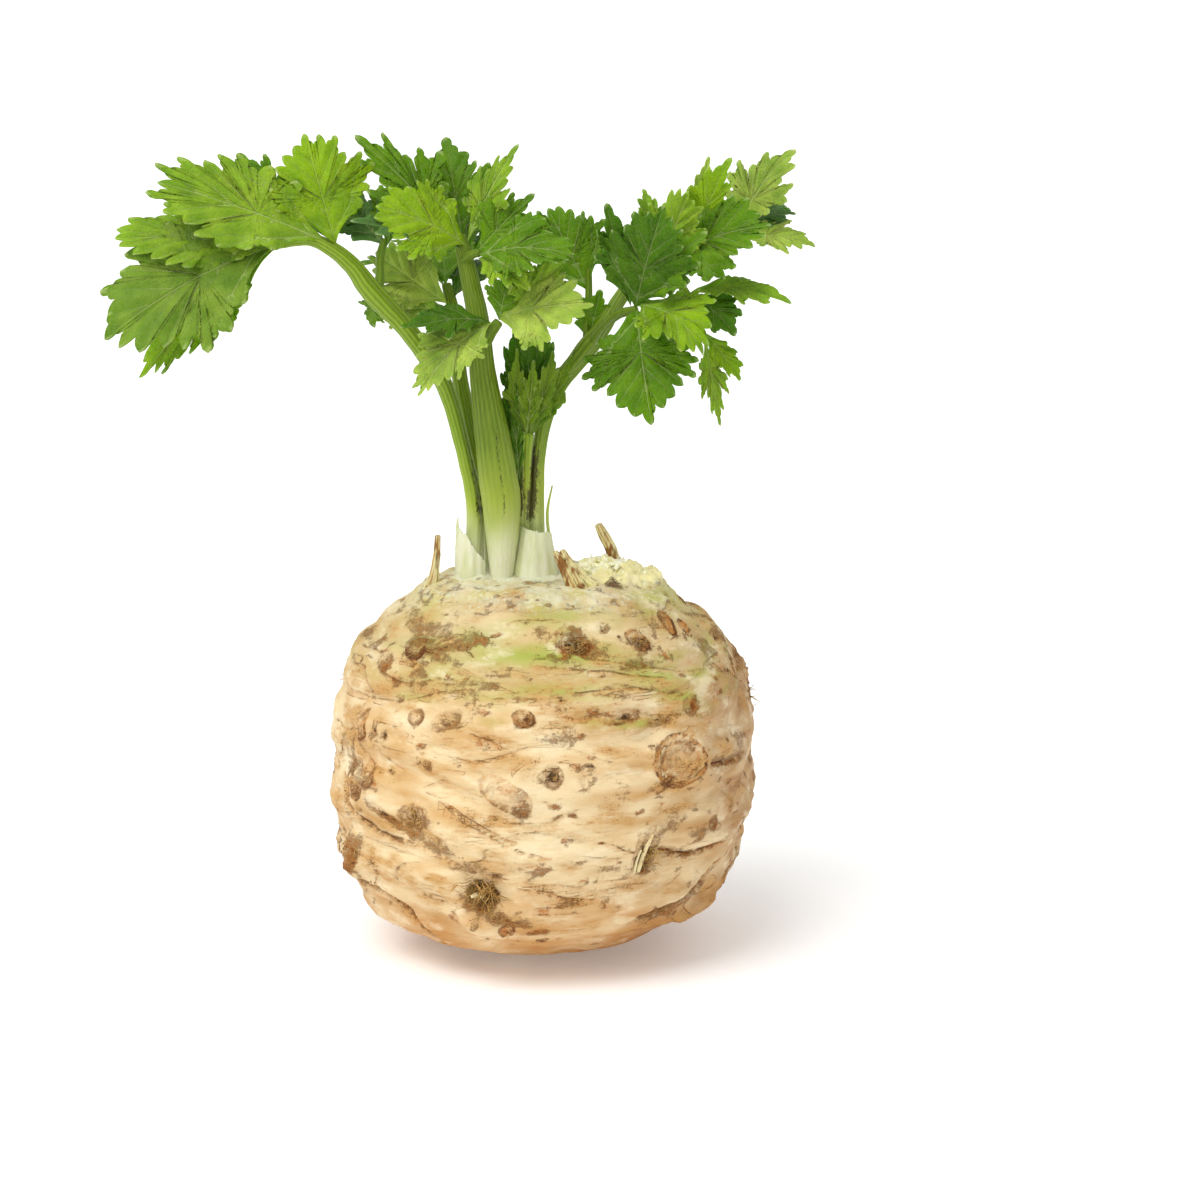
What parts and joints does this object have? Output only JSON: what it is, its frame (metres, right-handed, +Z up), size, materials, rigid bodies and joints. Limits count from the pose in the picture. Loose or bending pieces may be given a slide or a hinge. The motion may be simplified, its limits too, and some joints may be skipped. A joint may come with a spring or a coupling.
{
  "type": "celeriac root",
  "caption": "Round knobbly celeriac root with leafy celery stems growing from its crown, resting on a small flat spot.",
  "frame": {"origin": "middle of the small flat spot that the root rests on", "axes": "+Z up along the stems, +X to the right and -Y towards the viewer who sees the wide sweep of the leaves"},
  "size_m": [0.2093, 0.1339, 0.244],
  "materials": {
    "root_skin": "rough cream and brown root skin with dark pits",
    "leaf": "soft green leaf and ribbed stalk, paler towards the foot",
    "sheath": "pale, slightly glossy plant sheath"
  },
  "bodies": {
    "root": {"celeriac_root": "root_skin", "leafy_stem_left": "leaf", "leafy_stem_centre": "leaf", "leafy_stem_young": "leaf", "leafy_stem_right": "leaf", "leafy_stem_back": "leaf", "cut_sheath_left": "sheath", "cut_sheath_right": "sheath"}
  },
  "joints": []
}
